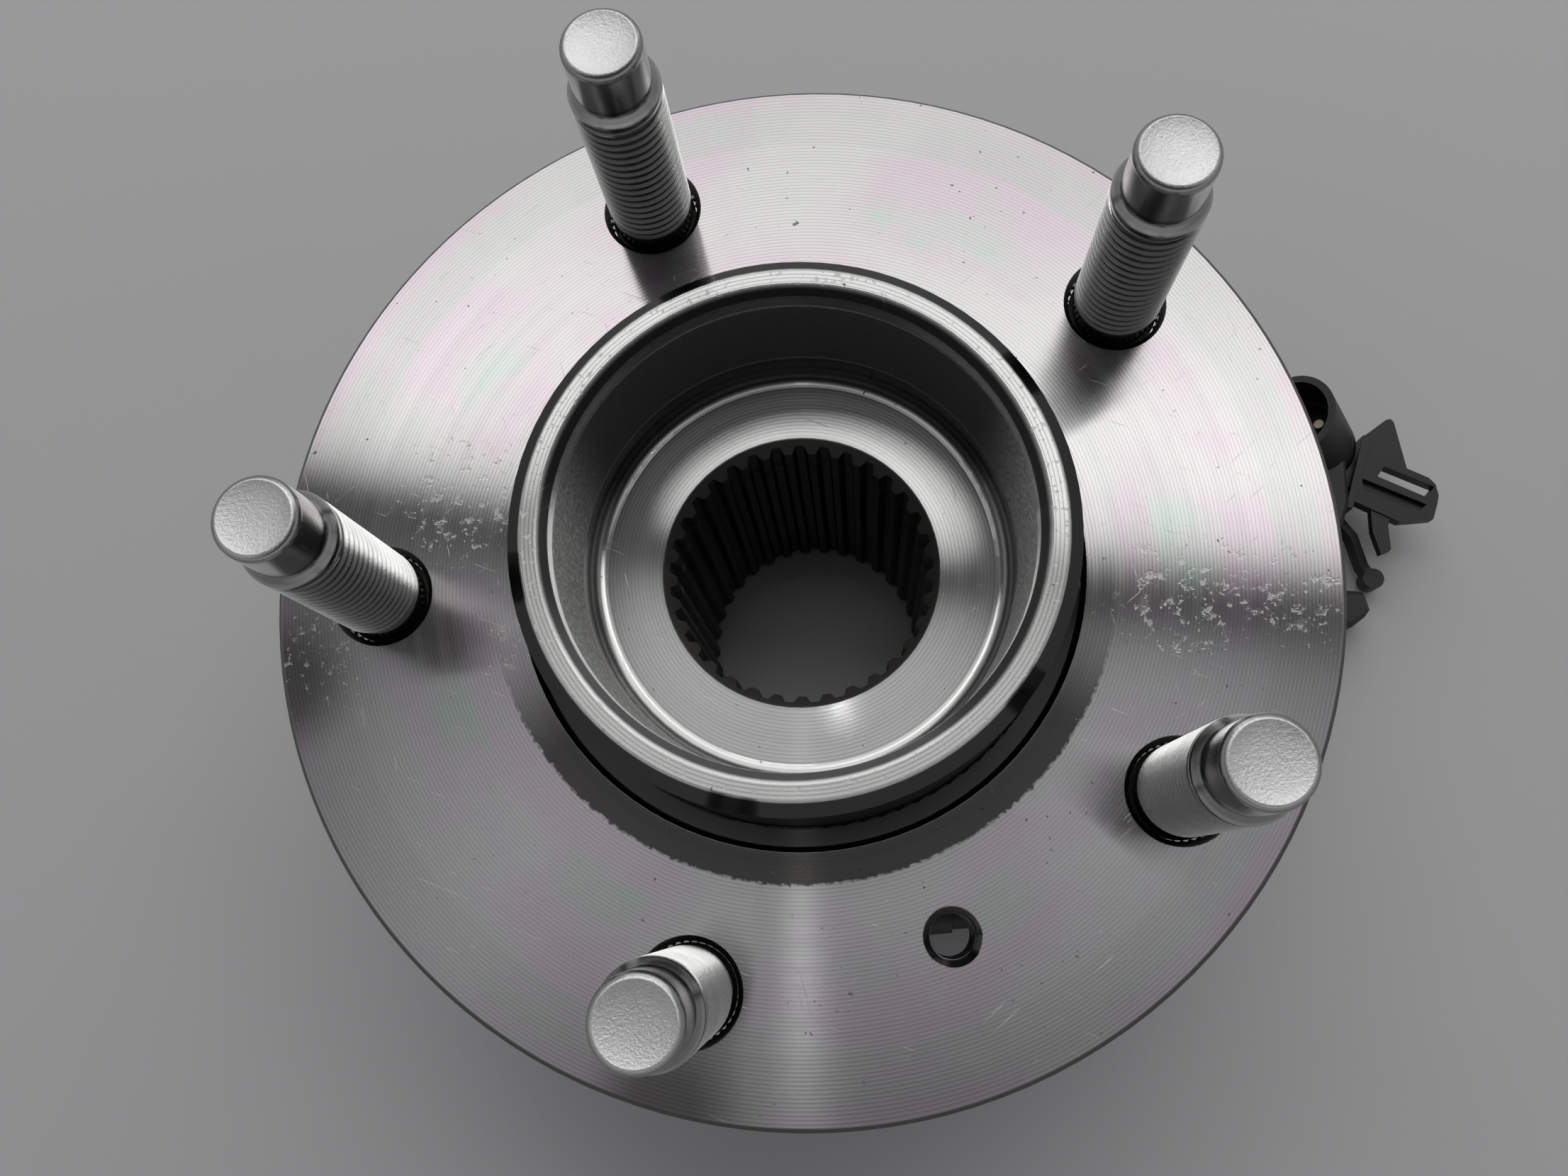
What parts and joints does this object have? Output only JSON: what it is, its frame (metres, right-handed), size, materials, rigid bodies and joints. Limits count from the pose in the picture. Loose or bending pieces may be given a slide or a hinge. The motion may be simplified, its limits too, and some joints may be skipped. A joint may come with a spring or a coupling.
{
  "type": "wheel hub bearing",
  "caption": "Driven wheel hub bearing unit: flanged spindle with pressed studs and splined bore, double ball row, flanged outer ring, and a wheel speed sensor lead with its connector.",
  "frame": {"origin": "on the spin axis, at the surface that the unit stands on, which is the inboard end of the spindle", "axes": "+Z along the spin axis towards the wheel; the connector lies on the +X side and the speed sensor is at -Y"},
  "size_m": [0.1817, 0.1444, 0.1001],
  "materials": {
    "turned_steel": "fine turned satin with light handling marks",
    "forged_steel": "oxide-grey forging with machined seats",
    "bearing_steel": "ground and honed",
    "zinc_steel": "bright zinc plate",
    "stamped_steel": "stamped and passivated",
    "cage_plastic": "glass-filled nylon",
    "seal_rubber": "moulded",
    "lead_rubber": "extruded jacket",
    "black_plastic": "fine moulded texture",
    "chip_plastic": "moulded chip package",
    "magnet": "sintered",
    "terminal_metal": "stamped and plated",
    "mouth_rubber": "moulded"
  },
  "bodies": {
    "carrier": {"outer_ring": "forged_steel", "wheel_side_seal_case": "stamped_steel", "wheel_side_seal_lip": "seal_rubber", "knuckle_side_seal_case": "stamped_steel", "knuckle_side_seal_lip": "seal_rubber", "sensor_cap": "stamped_steel", "sensor_body": "black_plastic", "sensor_chip": "chip_plastic", "sensor_magnet": "magnet", "sensor_grommet": "lead_rubber", "sensor_lead": "lead_rubber", "lead_clip": "black_plastic", "connector_housing": "black_plastic", "connector_rear_cover": "black_plastic", "connector_terminals": "terminal_metal", "connector_mouth_seal": "mouth_rubber", "connector_clip": "black_plastic", "connector_latch": "black_plastic"},
    "hub": {"hub_flange": "turned_steel", "inner_ring": "bearing_steel", "wheel_stud_1": "zinc_steel", "wheel_stud_2": "zinc_steel", "wheel_stud_3": "zinc_steel", "wheel_stud_4": "zinc_steel", "wheel_stud_5": "zinc_steel", "wheel_side_slinger": "stamped_steel", "knuckle_side_slinger": "stamped_steel", "tone_ring": "stamped_steel"},
    "wheel_side_row": {"wheel_side_balls": "bearing_steel", "wheel_side_cage": "cage_plastic"},
    "knuckle_side_row": {"knuckle_side_balls": "bearing_steel", "knuckle_side_cage": "cage_plastic"}
  },
  "joints": [
    {"name": "hub_spin", "type": "hinge", "parent": "carrier", "child": "hub", "pos_m": [0, 0, 0.037], "axis": [0, 0, 1], "continuous": true},
    {"name": "wheel_side_row_spin", "type": "hinge", "parent": "carrier", "child": "wheel_side_row", "pos_m": [0, 0, 0.0375], "axis": [0, 0, 1], "continuous": true},
    {"name": "knuckle_side_row_spin", "type": "hinge", "parent": "carrier", "child": "knuckle_side_row", "pos_m": [0, 0, 0.0185], "axis": [0, 0, 1], "continuous": true}
  ],
  "couplings": [
    {"joint": "wheel_side_row_spin", "follows": "hub_spin", "ratio": 0.42418},
    {"joint": "knuckle_side_row_spin", "follows": "hub_spin", "ratio": 0.42418}
  ]
}
